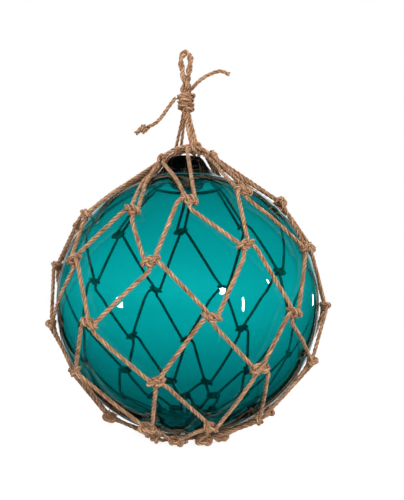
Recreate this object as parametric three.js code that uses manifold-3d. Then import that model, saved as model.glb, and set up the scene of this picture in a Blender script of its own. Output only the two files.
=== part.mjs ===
// Glass float ball: a hand-blown sphere with its thick seal, held in a knotted jute net that hangs
// from a whipped loop. Millimetres, +Z up, origin on the table under the ball's centre.
// Bearings are degrees from the front (-Y) towards the right (+X); heights above the ball's centre
// are called rise.

import * as THREE from "three";
import { mergeVertices } from "three/addons/utils/BufferGeometryUtils.js";
import Module from "manifold-3d";

const wasm = await Module();
wasm.setup();

// The ball and its seal
const BALL_RADIUS = 125;
const SEAT_THICKNESS = 6.8;
const BALL_CENTRE = BALL_RADIUS + SEAT_THICKNESS;
const BALL_SEGMENTS = 30;
const BALL_BANDS = 14;
const SEAL_FOOT_RADIUS = 34;
const SEAL_PROFILE = [[27, 125.2], [22, 130.8], [18.4, 136.4], [15.6, 139.6], [10, 140.6]];
const SEAL_TOP_RISE = 140.3;
const SEAL_LEAN = -2;
const SEAL_BEAD = { x: -15.5, y: 5.5, rise: 142, radius: 5 };

// The net's cord and knots
const CORD_RADIUS = 2;
const CORD_SIDES = 4;
const STRAND_STEP = 36;
const GAP = 0.3;
const MESHES_ROUND = 10;
const MESH_STEP = 360 / MESHES_ROUND;
const KNOT_HALF_SIZE = new THREE.Vector3(7.4, 6.6, 3.9);
const KNOT_CROWN = 0.66;

// Each row of knots: its height as a latitude, its turn about the ball, how it dips to the front (+)
// or back and to the right (+) or left, how it crowds to the front or right, and how it sags there.
const NET_ROWS = [
  { latitude: 39.6, turn: 1.5, dipFront: 1.5, dipRight: 3.9, crowdFront: -1.6, crowdRight: -12.5, sag: -0.3 },
  { latitude: 14.9, turn: 2.2, dipFront: 6.9, dipRight: 4.2, crowdFront: 3.0, crowdRight: -0.4, sag: 4.2 },
  { latitude: -10.6, turn: 2.1, dipFront: 9.8, dipRight: 3.8, crowdFront: 2.1, crowdRight: 7.7, sag: 3.0 },
  { latitude: -34.7, turn: 4.9, dipFront: 13.7, dipRight: 2.0, crowdFront: 3.8, crowdRight: 10.4, sag: 4.7 },
  { latitude: -56.6, turn: 7.8, dipFront: 5.5, dipRight: 0.6, crowdFront: 4.5, crowdRight: 4.7, sag: 1.9 },
  { latitude: -74, turn: 6, dipFront: 1, dipRight: 0, crowdFront: 0, crowdRight: 0, sag: 0 },
];

// The gathering ring at the top, a long loop pulled up at the front and back by the risers
const RING_HALF_LENGTH = 25;
const RING_HALF_WIDTH = 12;
const RING_TURN = 13;
const RING_RISE = 144.5;
const RING_LIFT = 4.5;
const RING_LIFT_BEARING = 5;
const RING_STEPS = 28;
const RING_SIDES = 5;

// Where the two legs of each top mesh hang on the ring, as bearings along it, mesh by mesh
const RING_PERCHES = [
  [6, 60], [68, 76], [84, 94], [106, 122], [144, 157],
  [170, -128], [-121, -113], [-106, -99], [-92, -85], [-78, -69],
];

// The gathering at the bottom, drawn up to a flat button that the float stands on
const BUTTON_FLAT_RADIUS = 11.5;
const BUTTON_PROFILE = [[14, 1.5], [14.9, 3.6], [14, 5.8], [11, 6.3]];
const BUTTON_TOP = 6.35;
const BUTTON_SEGMENTS = 16;
const BUTTON_LEG_RADIUS = 12;

// The hanging cord: an eye, a bundle under it, and two long loops that hook under the ring
const HANGER_X = -1.6;
const EYE_CORD_RADIUS = 2.9;
const EYE_SIDES = 8;
const EYE_STEPS = 16;
const EYE_HALF_WIDTH = 5.6;
const EYE_TOP_RISE = 241.1;
const EYE_WIDEST_RISE = 231;
const EYE_NARROW_RISE = 219;
const EYE_FOOT_RISE = 206;
const EYE_FOOT_SPREAD = 2.1;
const EYE_FOOT_LAY = 0.8;
const BUNDLE_RADIUS = 4;
const BUNDLE_SIDES = 10;
const BUNDLE_POINT = 1.3;
const BUNDLE_TOP_RISE = 208;
const BUNDLE_FOOT_RISE = 180.6;
const RISER_RADIUS = 2.05;
const RISER_TOP_RISE = 182.2;
const RISER_SIDES = 5;
const RISER_STEPS = 24;
const HOOK_RADIUS = RISER_RADIUS + CORD_RADIUS + GAP + 0.65;
const HOOK_SPREAD = 2.3;
const RISERS = [
  { bearing: 22, out: -1, topOuter: [-0.6, -2], topInner: [1.8, -1] },
  { bearing: -150, out: 1, topOuter: [-1.7, 1.6], topInner: [-1.2, 0.6] },
];

// The whipping round the bundle
const WHIP_RADIUS = 2.1;
const WHIP_COIL_RADIUS = BUNDLE_RADIUS + GAP + WHIP_RADIUS + 0.6;
const WHIP_PITCH = 4.45;
const WHIP_TURNS = 3.45;
const WHIP_FOOT_RISE = 185.6;
const WHIP_STEPS_PER_TURN = 11;
const WHIP_SIDES = 5;

// The two free ends that leave the whipping: x, y and rise
const KNOTTED_TAIL = [
  [-11.4, -1, 197.2], [-14.9, -1.6, 192.8], [-20.7, -2.4, 184.6], [-25.7, -3, 177.6],
  [-31, -3, 172.6], [-37.2, -3, 169.4],
];
const CUT_TAIL = [
  [5, -9.2, 203.6], [8.2, -9, 208.2], [12.2, -8.2, 212], [17, -7.2, 215.6], [22, -6, 218.4],
  [27.6, -4.8, 220.8], [33, -3.6, 221.6], [39.8, -2.6, 219],
];
const TAIL_RADIUS = 1.95;
const TAIL_SIDES = 8;
const STOPPER = { x: -42.4, y: -3, rise: 167, halfLength: 5.6, halfWidth: 4.5, slope: 40 };
const STOPPER_STUB = [[-42.4, -3, 167], [-45.2, -3, 164.2], [-47.8, -3, 160.8]];

const GLASS_TEAL = 0x0a8f8c;
const JUTE_TAN = 0xb98c63;

const radians = THREE.MathUtils.degToRad;

/** A point of the net on the ball, from its latitude and bearing in degrees. */
function onBall(latitude, bearing, lift) {
  const reach = BALL_RADIUS + lift;
  const flat = reach * Math.cos(radians(latitude));
  return new THREE.Vector3(
    flat * Math.sin(radians(bearing)),
    -flat * Math.cos(radians(bearing)),
    reach * Math.sin(radians(latitude)),
  );
}

/** The middle of a knot on the glass; odd rows stand half a mesh round. */
function knotPoint(rowIndex, index) {
  const row = NET_ROWS[rowIndex];
  const bearing = row.turn + (index + (rowIndex % 2) / 2) * MESH_STEP;
  const front = Math.cos(radians(bearing));
  const right = Math.sin(radians(bearing));
  const sag = row.sag * Math.cos(radians(2 * bearing));
  return onBall(
    row.latitude + row.dipFront * front + row.dipRight * right - sag,
    bearing + row.crowdFront * front + row.crowdRight * right,
    KNOT_HALF_SIZE.z + GAP,
  );
}

/** The radius that the seal has at a rise, for keeping cord off it. */
function sealRadius(rise) {
  const foot = [SEAL_FOOT_RADIUS, Math.sqrt(BALL_RADIUS ** 2 - SEAL_FOOT_RADIUS ** 2)];
  const stations = [foot, ...SEAL_PROFILE];
  for (let i = 1; i < stations.length; i++) {
    const [outer, low] = stations[i - 1];
    const [inner, high] = stations[i];
    if (rise >= low && rise <= high) {
      return outer + ((inner - outer) * (rise - low)) / (high - low);
    }
  }
  return 0;
}

/** Moves a point out of the glass, so that a cord of that lift lies on it. */
function clearOfGlass(point, lift) {
  if (point.length() < BALL_RADIUS + lift) {
    point.setLength(BALL_RADIUS + lift);
  }
  const radius = sealRadius(point.z - lift * 0.4);
  if (radius > 0) {
    const side = new THREE.Vector2(point.x - SEAL_LEAN, point.y);
    if (side.length() < radius + lift) {
      side.setLength(radius + lift);
      point.x = side.x + SEAL_LEAN;
      point.y = side.y;
    }
  }
  return point;
}

/** A taut cord from start to end: pulled straight again and again, and kept off the glass. */
function tautPath(start, end, count, lift) {
  const points = [];
  for (let i = 0; i <= count; i++) {
    points.push(start.clone().lerp(end, i / count));
  }
  for (let pass = 0; pass < 60; pass++) {
    for (let i = 1; i < count; i++) {
      points[i].copy(points[i - 1]).add(points[i + 1]).multiplyScalar(0.5);
      clearOfGlass(points[i], lift);
    }
  }
  return points;
}

/** How far the corners of a many-sided section stand out, so that its width averages the cord's. */
function cornerReach(radius, sides) {
  return radius * (1 + 0.5 * (1 / Math.cos(Math.PI / sides) - 1));
}

/** A many-sided section of a cord. */
function roundSection(radius, sides) {
  const shape = new THREE.Shape();
  const reach = cornerReach(radius, sides);
  for (let i = 0; i < sides; i++) {
    const angle = (2 * Math.PI * i) / sides;
    const corner = [reach * Math.cos(angle), reach * Math.sin(angle)];
    if (i === 0) {
      shape.moveTo(...corner);
    } else {
      shape.lineTo(...corner);
    }
  }
  shape.closePath();
  return shape;
}

/** A cord swept along a path with closed ends. */
function sweep(path, radius, sides, steps) {
  return new THREE.ExtrudeGeometry(roundSection(radius, sides), {
    steps,
    bevelEnabled: false,
    extrudePath: path,
  });
}

/** A cord through points, straight from one to the next. */
function bentCord(points, radius, sides) {
  const path = new THREE.CatmullRomCurve3(points, false, "catmullrom", 0.5);
  path.getPointAt = path.getPoint;
  path.getTangentAt = path.getTangent;
  return sweep(path, radius, sides, points.length - 1);
}

/** A smooth cord through points. */
function smoothCord(points, radius, sides, steps) {
  return sweep(new THREE.CatmullRomCurve3(points, false, "centripetal"), radius, sides, steps);
}

/** Turns a closed three.js geometry into a solid that can be joined. */
function toSolid(geometry) {
  const bare = geometry.index ? geometry.clone() : geometry;
  bare.deleteAttribute("normal");
  bare.deleteAttribute("uv");
  const merged = mergeVertices(bare, 1e-4);
  return new wasm.Manifold(new wasm.Mesh({
    numProp: 3,
    vertProperties: merged.attributes.position.array,
    triVerts: Uint32Array.from(merged.index.array),
  }));
}

/** Turns a solid back into a geometry. */
function toGeometry(solid) {
  const mesh = solid.getMesh();
  const geometry = new THREE.BufferGeometry();
  geometry.setAttribute("position", new THREE.BufferAttribute(mesh.vertProperties, 3));
  geometry.setIndex(new THREE.BufferAttribute(mesh.triVerts, 1));
  return geometry;
}

/** Joins closed geometries into one. */
function joined(geometries) {
  return toGeometry(geometries.map(toSolid).reduce((whole, next) => whole.add(next)));
}

/** The ball with the seal drawn up from its top, and the bead of glass left on the seal's rim. */
function glassGeometry() {
  const footLatitude = Math.acos(SEAL_FOOT_RADIUS / BALL_RADIUS);
  const profile = [new THREE.Vector2(0, -BALL_RADIUS)];
  for (let i = 1; i <= BALL_BANDS; i++) {
    const latitude = -Math.PI / 2 + ((footLatitude + Math.PI / 2) * i) / BALL_BANDS;
    profile.push(new THREE.Vector2(Math.cos(latitude), Math.sin(latitude)).multiplyScalar(BALL_RADIUS));
  }
  for (const [radius, rise] of SEAL_PROFILE) {
    profile.push(new THREE.Vector2(radius, rise));
  }
  profile.push(new THREE.Vector2(0, SEAL_TOP_RISE));
  const body = new THREE.LatheGeometry(profile, BALL_SEGMENTS).rotateX(Math.PI / 2);
  const place = body.attributes.position;
  for (let i = 0; i < place.count; i++) {
    const raised = THREE.MathUtils.smoothstep(place.getZ(i), 112, 132);
    place.setX(i, place.getX(i) + SEAL_LEAN * raised);
  }
  const bead = new THREE.SphereGeometry(SEAL_BEAD.radius, 8, 6).rotateX(Math.PI / 2);
  bead.translate(SEAL_BEAD.x, SEAL_BEAD.y, SEAL_BEAD.rise);
  return joined([body, bead]);
}

/** A point of the gathering ring's cord at a bearing along it. */
function ringPoint(bearing) {
  const turn = radians(RING_TURN);
  const x = RING_HALF_LENGTH * Math.sin(radians(bearing));
  const y = -RING_HALF_WIDTH * Math.cos(radians(bearing));
  const lift = RING_LIFT * Math.cos(radians(2 * (bearing - RING_LIFT_BEARING)));
  return new THREE.Vector3(
    x * Math.cos(turn) + y * Math.sin(turn),
    -x * Math.sin(turn) + y * Math.cos(turn),
    RING_RISE + lift,
  );
}

/** The gathering ring: a closed cord bent to the ring's line. */
function ringGeometry() {
  const thin = 0.1;
  const torus = new THREE.TorusGeometry(1, thin, RING_SIDES, RING_STEPS);
  const place = torus.attributes.position;
  for (let i = 0; i < place.count; i++) {
    const angle = Math.atan2(place.getY(i), place.getX(i));
    const out = ((Math.hypot(place.getX(i), place.getY(i)) - 1) / thin) * CORD_RADIUS;
    const up = (place.getZ(i) / thin) * CORD_RADIUS;
    const centre = ringPoint(90 + THREE.MathUtils.radToDeg(angle));
    const side = new THREE.Vector3(centre.x, centre.y, 0).normalize();
    centre.addScaledVector(side, out);
    place.setXYZ(i, centre.x, centre.y, centre.z + up);
  }
  return torus;
}

/** A knot: a four-sided lump on the glass, with a corner up, down and to each side. */
function knotGeometry(rowIndex, index) {
  const centre = knotPoint(rowIndex, index);
  const outward = centre.clone().normalize();
  const east = new THREE.Vector3(0, 0, 1).cross(outward).normalize();
  const north = outward.clone().cross(east);
  const lump = new THREE.CylinderGeometry(KNOT_CROWN, 1, 2, 4).rotateX(Math.PI / 2);
  lump.scale(KNOT_HALF_SIZE.x, KNOT_HALF_SIZE.y, KNOT_HALF_SIZE.z);
  lump.applyMatrix4(new THREE.Matrix4().makeBasis(east, north, outward).setPosition(centre));
  return lump;
}

/** A strand between two points of the net, laid taut over the glass in a few straight steps. */
function strandGeometry(start, end) {
  const length = start.distanceTo(end);
  const count = Math.max(1, Math.round(length / STRAND_STEP));
  const sagitta = length ** 2 / (8 * BALL_RADIUS * count ** 2);
  const lift = cornerReach(CORD_RADIUS, CORD_SIDES) + GAP + sagitta;
  const ends = [start, end].map((point) => clearOfGlass(point.clone(), lift));
  return bentCord(tautPath(...ends, count, lift), CORD_RADIUS, CORD_SIDES);
}

/** The drawn-up cord under the ball, flat where it stands. */
function buttonGeometry() {
  const profile = [[0, 0], [BUTTON_FLAT_RADIUS, 0], ...BUTTON_PROFILE, [0, BUTTON_TOP]];
  const points = profile.map(([radius, height]) => new THREE.Vector2(radius, height - BALL_CENTRE));
  return new THREE.LatheGeometry(points, BUTTON_SEGMENTS).rotateX(Math.PI / 2);
}

/** The strands from a row of knots down to the next. */
function rowStrands(row) {
  const strands = [];
  const toLeft = row % 2 === 0 ? -1 : 0;
  for (let index = 0; index < MESHES_ROUND; index++) {
    const left = index + toLeft;
    strands.push(strandGeometry(knotPoint(row, index), knotPoint(row + 1, left)));
    strands.push(strandGeometry(knotPoint(row, index), knotPoint(row + 1, left + 1)));
  }
  return strands;
}

/** The legs of the top meshes, from the first row up to the gathering ring. */
function topLegs() {
  return RING_PERCHES.flatMap(([first, second], index) => [
    strandGeometry(ringPoint(first), knotPoint(0, index)),
    strandGeometry(ringPoint(second), knotPoint(0, index + 1)),
  ]);
}

/** The legs of the last row, drawn in under the ball to the button. */
function bottomLegs() {
  const legs = [];
  const row = NET_ROWS.length - 1;
  const latitude = -THREE.MathUtils.radToDeg(Math.acos(BUTTON_LEG_RADIUS / BALL_RADIUS));
  for (let index = 0; index < MESHES_ROUND; index++) {
    for (const side of [-1, 1]) {
      const bearing = NET_ROWS[row].turn + (index + 0.5 + side / 4) * MESH_STEP;
      const foot = onBall(latitude, bearing, KNOT_HALF_SIZE.z);
      legs.push(strandGeometry(knotPoint(row, index), foot));
    }
  }
  return legs;
}

/** The whole net: knots, strands, top legs on their ring and bottom legs in their button. */
function nettingGeometry() {
  const pieces = [ringGeometry(), buttonGeometry(), ...topLegs(), ...bottomLegs()];
  NET_ROWS.forEach((_, row) => {
    for (let index = 0; index < MESHES_ROUND; index++) {
      pieces.push(knotGeometry(row, index));
    }
    if (row < NET_ROWS.length - 1) {
      pieces.push(...rowStrands(row));
    }
  });
  return joined(pieces);
}

/** One long loop of the hanging cord: down outside the ring, hooked under it and up inside. */
function riserGeometry(riser) {
  const hooked = ringPoint(riser.bearing);
  const [outerX, outerY] = riser.topOuter;
  const [innerX, innerY] = riser.topInner;
  const points = [new THREE.Vector3(HANGER_X + outerX, outerY, RISER_TOP_RISE)];
  for (let angle = 0; angle <= 180; angle += 30) {
    const reach = HOOK_RADIUS * Math.cos(radians(angle));
    points.push(new THREE.Vector3(
      hooked.x - HOOK_SPREAD * Math.cos(radians(angle)),
      hooked.y + riser.out * reach,
      hooked.z - HOOK_RADIUS * Math.sin(radians(angle)),
    ));
  }
  points.push(new THREE.Vector3(HANGER_X + innerX, innerY, RISER_TOP_RISE));
  return smoothCord(points, RISER_RADIUS, RISER_SIDES, RISER_STEPS);
}

/** The eye that the float hangs by, its legs laid past each other down into the bundle. */
function eyeGeometry() {
  const half = [
    [EYE_FOOT_SPREAD, EYE_FOOT_LAY, EYE_FOOT_RISE],
    [EYE_FOOT_SPREAD, EYE_FOOT_LAY, EYE_NARROW_RISE - 5],
    [EYE_HALF_WIDTH * 0.9, 0, EYE_NARROW_RISE + 5.5],
    [EYE_HALF_WIDTH, 0, EYE_WIDEST_RISE],
    [EYE_HALF_WIDTH * 0.76, 0, EYE_TOP_RISE - 2.6],
  ];
  const left = half.map(([x, y, rise]) => new THREE.Vector3(HANGER_X - x, y, rise));
  const right = half.map(([x, y, rise]) => new THREE.Vector3(HANGER_X + x, -y, rise)).reverse();
  const top = new THREE.Vector3(HANGER_X, 0, EYE_TOP_RISE);
  return smoothCord([...left, top, ...right], EYE_CORD_RADIUS, EYE_SIDES, EYE_STEPS);
}

/** The cords bound side by side under the eye, drawn to a low point at each end. */
function bundleGeometry() {
  const profile = [
    new THREE.Vector2(0, BUNDLE_FOOT_RISE - BUNDLE_POINT), new THREE.Vector2(BUNDLE_RADIUS, BUNDLE_FOOT_RISE),
    new THREE.Vector2(BUNDLE_RADIUS, BUNDLE_TOP_RISE), new THREE.Vector2(0, BUNDLE_TOP_RISE + BUNDLE_POINT),
  ];
  const bundle = new THREE.LatheGeometry(profile, BUNDLE_SIDES).rotateX(Math.PI / 2);
  return bundle.translate(HANGER_X, 0, 0);
}

/** The hanging cord: eye, bundle and risers. */
function hangingCordGeometry() {
  return joined([bundleGeometry(), eyeGeometry(), ...RISERS.map(riserGeometry)]);
}

/** The whipping: a close helix round the bundle. */
function whippingGeometry() {
  const steps = Math.round(WHIP_TURNS * WHIP_STEPS_PER_TURN);
  const points = [];
  for (let i = 0; i <= steps; i++) {
    const turns = (WHIP_TURNS * i) / steps;
    points.push(new THREE.Vector3(
      HANGER_X + WHIP_COIL_RADIUS * Math.sin(2 * Math.PI * turns),
      -WHIP_COIL_RADIUS * Math.cos(2 * Math.PI * turns),
      WHIP_FOOT_RISE + WHIP_PITCH * turns,
    ));
  }
  return smoothCord(points, WHIP_RADIUS, WHIP_SIDES, steps);
}

/** A free end of cord through its own points. */
function tailGeometry(points) {
  const route = points.map((point) => new THREE.Vector3(...point));
  return smoothCord(route, TAIL_RADIUS, TAIL_SIDES, points.length - 1);
}

/** The stopper knot on the longer tail, with the short end that sticks out of it. */
function stopperGeometry() {
  const lump = new THREE.SphereGeometry(1, 8, 5).rotateZ(Math.PI / 2);
  lump.scale(STOPPER.halfLength, STOPPER.halfWidth, STOPPER.halfWidth);
  lump.rotateY(-radians(STOPPER.slope));
  lump.translate(STOPPER.x, STOPPER.y, STOPPER.rise);
  return joined([lump, tailGeometry(STOPPER_STUB)]);
}

/** Adds one named sub-part to the float. */
function addPart(name, geometry, color, roughness) {
  const material = new THREE.MeshStandardMaterial({ color, roughness, metalness: 0 });
  const mesh = new THREE.Mesh(geometry, material);
  mesh.name = name;
  mesh.position.z = BALL_CENTRE;
  float.add(mesh);
}

const float = new THREE.Group();
addPart("glass_float", glassGeometry(), GLASS_TEAL, 0.05);
addPart("netting", nettingGeometry(), JUTE_TAN, 0.9);
addPart("hanging_cord", hangingCordGeometry(), JUTE_TAN, 0.9);
addPart("whipping", whippingGeometry(), JUTE_TAN, 0.9);
addPart("tail_knotted", tailGeometry(KNOTTED_TAIL), JUTE_TAN, 0.9);
addPart("stopper_knot", stopperGeometry(), JUTE_TAN, 0.9);
addPart("tail_cut", tailGeometry(CUT_TAIL), JUTE_TAN, 0.9);

export default float;
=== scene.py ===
"""Glass float ball in its knotted jute net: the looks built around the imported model.

Lengths are in millimetres until a mesh is made. Heights above the ball's centre are called rise, and
bearings are degrees from the front (-Y) towards the right (+X), as in the part's own source.
"""

import logging
import math
from dataclasses import dataclass, field
from enum import Enum

import bpy
import numpy as np
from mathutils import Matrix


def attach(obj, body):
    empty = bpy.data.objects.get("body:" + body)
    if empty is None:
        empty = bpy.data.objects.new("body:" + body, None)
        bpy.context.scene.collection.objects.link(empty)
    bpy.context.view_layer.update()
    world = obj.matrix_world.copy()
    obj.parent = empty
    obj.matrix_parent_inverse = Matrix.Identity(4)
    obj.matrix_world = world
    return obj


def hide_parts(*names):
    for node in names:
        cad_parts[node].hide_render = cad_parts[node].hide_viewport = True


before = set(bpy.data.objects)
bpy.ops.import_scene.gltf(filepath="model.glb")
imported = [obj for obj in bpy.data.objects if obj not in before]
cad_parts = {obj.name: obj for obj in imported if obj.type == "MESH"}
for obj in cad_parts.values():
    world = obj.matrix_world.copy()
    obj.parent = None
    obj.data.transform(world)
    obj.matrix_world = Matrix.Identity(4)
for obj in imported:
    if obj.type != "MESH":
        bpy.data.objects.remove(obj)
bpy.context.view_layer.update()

MM = 0.001
ROOT = "root"

# The ball, its seal and the seat that it stands on
BALL_RADIUS = 125.0
BALL_CENTRE = 131.8
SEAL_FOOT_RADIUS = 34.0
SEAL_PROFILE = ((27.0, 125.2), (22.0, 130.8), (18.4, 136.4), (15.6, 139.6), (10.0, 140.6))
SEAL_TOP_RISE = 140.3
SEAL_LEAN = -2.0

# The net
CORD_RADIUS = 1.95
GAP = 0.3
MESHES_ROUND = 10
MESH_STEP = 360.0 / MESHES_ROUND
HANGER_X = -1.6

log = logging.getLogger("glass_float")


class Hand(Enum):
    """Which way the wraps of a netting knot run, seen from outside."""

    RISING = 1
    FALLING = -1


@dataclass(frozen=True)
class NetRow:
    """A row of knots round the ball, in degrees.

    Height as a latitude, turn about the ball, dip to the front or right, crowding to the front or
    right, and sag; hand is the way its knots are tied.
    """

    latitude: float
    turn: float
    dip_front: float
    dip_right: float
    crowd_front: float
    crowd_right: float
    sag: float
    hand: Hand


NET_ROWS = (
    NetRow(39.6, 1.5, 1.5, 3.9, -1.6, -12.5, -0.3, Hand.FALLING),
    NetRow(14.9, 2.2, 6.9, 4.2, 3.0, -0.4, 4.2, Hand.RISING),
    NetRow(-10.6, 2.1, 9.8, 3.8, 2.1, 7.7, 3.0, Hand.FALLING),
    NetRow(-34.7, 4.9, 13.7, 2.0, 3.8, 10.4, 4.7, Hand.RISING),
    NetRow(-56.6, 7.8, 5.5, 0.6, 4.5, 4.7, 1.9, Hand.FALLING),
    NetRow(-74.0, 6.0, 1.0, 0.0, 0.0, 0.0, 0.0, Hand.RISING),
)

# Knots that slipped as the net was tied: row and number, with degrees up and degrees round
SLIPS = {
    (0, 1): (4.7, 3.4), (0, 2): (1.2, 6.0), (0, 8): (1.1, -2.5), (0, 9): (-2.2, 2.3), (1, 0): (2.1, 0.0),
    (1, 1): (-1.2, 1.1), (1, 9): (-0.9, 0.6), (2, 0): (0.5, 2.9), (2, 1): (-1.3, -3.5), (2, 9): (-0.2, -1.7),
    (3, 0): (1.6, -1.1), (3, 9): (-1.1, 0.5), (4, 9): (-2.0, -2.0),
}

# Where the two legs of each top mesh hang on the gathering ring, as bearings along it
RING_PERCHES = (
    (6, 60), (68, 76), (84, 94), (106, 122), (144, 157),
    (170, 232), (239, 247), (254, 261), (268, 275), (282, 291),
)


def linear(code: int) -> tuple[float, float, float, float]:
    """Turns an sRGB hex colour to linear RGBA."""
    shares = [((code >> shift) & 255) / 255 for shift in (16, 8, 0)]
    curved = [c / 12.92 if c <= 0.04045 else ((c + 0.055) / 1.055) ** 2.4 for c in shares]
    return (*curved, 1.0)


def add_node(tree: bpy.types.NodeTree, kind: str, settings: dict | None = None,
             links: dict | None = None) -> bpy.types.Node:
    """Adds a node with its settings and links.

    Args:
        tree: The node tree that it goes in.
        kind: The node's type name.
        settings: Values by property name, or by input name or number.
        links: Output sockets by the input name or number that they feed.

    Returns:
        The new node.
    """
    node = tree.nodes.new(kind)
    for name, value in (settings or {}).items():
        if isinstance(name, str) and name.islower() and hasattr(node, name):
            setattr(node, name, value)
        else:
            node.inputs[name].default_value = value
    for name, socket in (links or {}).items():
        tree.links.new(socket, node.inputs[name])
    return node


def new_material(name: str) -> tuple[bpy.types.Material, bpy.types.NodeTree]:
    """Makes an empty node material."""
    material = bpy.data.materials.new(name)
    material.use_nodes = True
    material.node_tree.nodes.clear()
    return material, material.node_tree


@dataclass(frozen=True)
class BlownGlass:
    """Thick bottle-teal soda-lime glass, blown by mouth and fire-polished.

    The eye sees clear sea-green walls, dark where they are thick, and sharp small highlights.
    """

    name: str = "soda_lime_glass_blown"
    ior: float = 1.52
    roughness: float = 0.0
    keep: tuple[float, float, float] = (0.0, 0.864, 0.866)
    density: float = 900.0

    def material(self) -> bpy.types.Material:
        """Builds the material: clear transmission with plain absorption inside."""
        material, tree = new_material(self.name)
        surface = add_node(tree, "ShaderNodeBsdfPrincipled", {
            "Base Color": linear(0xF2FFFF), "IOR": self.ior, "Roughness": self.roughness,
            "Transmission Weight": 1.0,
        })
        inside = add_node(tree, "ShaderNodeVolumeAbsorption", {
            "Color": (*self.keep, 1.0), "Density": self.density,
        })
        add_node(tree, "ShaderNodeOutputMaterial", links={
            "Surface": surface.outputs[0], "Volume": inside.outputs[0],
        })
        return material


@dataclass(frozen=True)
class JuteTwine:
    """Raw jute, spun into yarns and laid up in three plies.

    The eye sees a dull tan cord with long pale and reddish fibres running along each ply.
    """

    name: str = "jute_three_ply_laid"
    straw: int = 0xE0BC98
    tan: int = 0xC49A74
    russet: int = 0xA07050
    bark: int = 0x5F3F2B
    fibre_width: float = 0.35
    fibre_length: float = 9.0
    fleck: float = 2.2
    # How dark the painted groove shade gets, as a share of the colour
    groove_shade: float = 0.52

    def material(self) -> bpy.types.Material:
        """Builds the material from streaks along the plies, with flecks, painted shade in the grooves between plies
        and a fibre bump.
        """
        material, tree = new_material(self.name)
        run = add_node(tree, "ShaderNodeAttribute", {"attribute_name": "run"})
        along = add_node(tree, "ShaderNodeMapping", {
            "Scale": (1 / self.fibre_length, 1 / self.fibre_width, 1 / self.fibre_width),
        }, {"Vector": run.outputs["Vector"]})
        streak = add_node(tree, "ShaderNodeTexNoise", {"Scale": 1.0, "Detail": 3.0, "Roughness": 0.6},
                          {"Vector": along.outputs[0]})
        wide = add_node(tree, "ShaderNodeMapping", {
            "Scale": (0.3 / self.fleck, 1 / self.fleck, 1 / self.fleck),
        }, {"Vector": run.outputs["Vector"]})
        fleck = add_node(tree, "ShaderNodeTexNoise", {"Scale": 1.0, "Detail": 2.0, "Roughness": 0.5},
                         {"Vector": wide.outputs[0]})
        mixed = add_node(tree, "ShaderNodeMath", {"operation": "MULTIPLY_ADD", 1: 0.55, 2: 0.0},
                         {0: streak.outputs[0]})
        both = add_node(tree, "ShaderNodeMath", {"operation": "MULTIPLY_ADD", 1: 0.45},
                        {0: fleck.outputs[0], 2: mixed.outputs[0]})
        ramp = add_node(tree, "ShaderNodeValToRGB", links={"Fac": both.outputs[0]})
        stops = ramp.color_ramp.elements
        stops[0].position, stops[0].color = 0.37, linear(self.bark)
        stops[1].position, stops[1].color = 0.68, linear(self.straw)
        for place, colour in ((0.46, self.russet), (0.55, self.tan)):
            stops.new(place).color = linear(colour)
        # Painted shade: the colour is darkened where each ply turns in towards the grooves, and at the cord's end
        # tips, from the crest attribute
        crest = add_node(tree, "ShaderNodeAttribute", {"attribute_name": "crest"})
        groove_shade = add_node(tree, "ShaderNodeMapRange", {"From Min": 0.2, "From Max": 0.8, "To Min": self.groove_shade},
                          {"Value": crest.outputs["Fac"]})
        shaded = add_node(tree, "ShaderNodeMix", {"data_type": "RGBA", "blend_type": "MULTIPLY", 0: 1.0},
                          {6: ramp.outputs[0], 7: groove_shade.outputs[0]})
        bump = add_node(tree, "ShaderNodeBump", {"Strength": 0.6, "Distance": 0.12 * MM},
                        {"Height": streak.outputs[0]})
        surface = add_node(tree, "ShaderNodeBsdfPrincipled", {
            "Roughness": 0.88, "Specular IOR Level": 0.25, "Sheen Weight": 0.15,
        }, {"Base Color": shaded.outputs[2], "Normal": bump.outputs[0]})
        add_node(tree, "ShaderNodeOutputMaterial", links={"Surface": surface.outputs[0]})
        return material


@dataclass(frozen=True)
class MattCard:
    """Opal acrylic over a light table, matt and evenly lit from below. The eye sees plain white."""

    name: str = "acrylic_opal_light_table"
    colour: int = 0x7C7C7C
    glow: float = 0.93

    def material(self) -> bpy.types.Material:
        """Builds the matt card with a slight even glow."""
        material, tree = new_material(self.name)
        grain = add_node(tree, "ShaderNodeTexNoise", {"Scale": 900.0, "Detail": 1.0})
        bump = add_node(tree, "ShaderNodeBump", {"Strength": 0.02, "Distance": 0.1 * MM},
                        {"Height": grain.outputs[0]})
        surface = add_node(tree, "ShaderNodeBsdfPrincipled", {
            "Base Color": linear(self.colour), "Roughness": 0.9, "Specular IOR Level": 0.1,
            "Emission Color": linear(0xFFFFFF), "Emission Strength": self.glow,
        }, {"Normal": bump.outputs[0]})
        add_node(tree, "ShaderNodeOutputMaterial", links={"Surface": surface.outputs[0]})
        return material


def unit(vectors: np.ndarray) -> np.ndarray:
    """Scales vectors in the last axis to length one."""
    return vectors / np.maximum(np.linalg.norm(vectors, axis=-1, keepdims=True), 1e-9)


def spline(points: np.ndarray, per_span: int = 16) -> np.ndarray:
    """Draws a smooth curve through points.

    Args:
        points: The points that it goes through.
        per_span: How many points it gets from one to the next.

    Returns:
        The curve's points.
    """
    padded = np.vstack([2 * points[0] - points[1], points, 2 * points[-1] - points[-2]])
    t = np.linspace(0, 1, per_span, endpoint=False)[:, None]
    spans = []
    for a, b, c, d in zip(padded[:-3], padded[1:-2], padded[2:-1], padded[3:]):
        spans.append(0.5 * (2 * b + (c - a) * t + (2 * a - 5 * b + 4 * c - d) * t**2
                            + (3 * b - 3 * c + d - a) * t**3))
    return np.vstack([*spans, points[-1:]])


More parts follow.
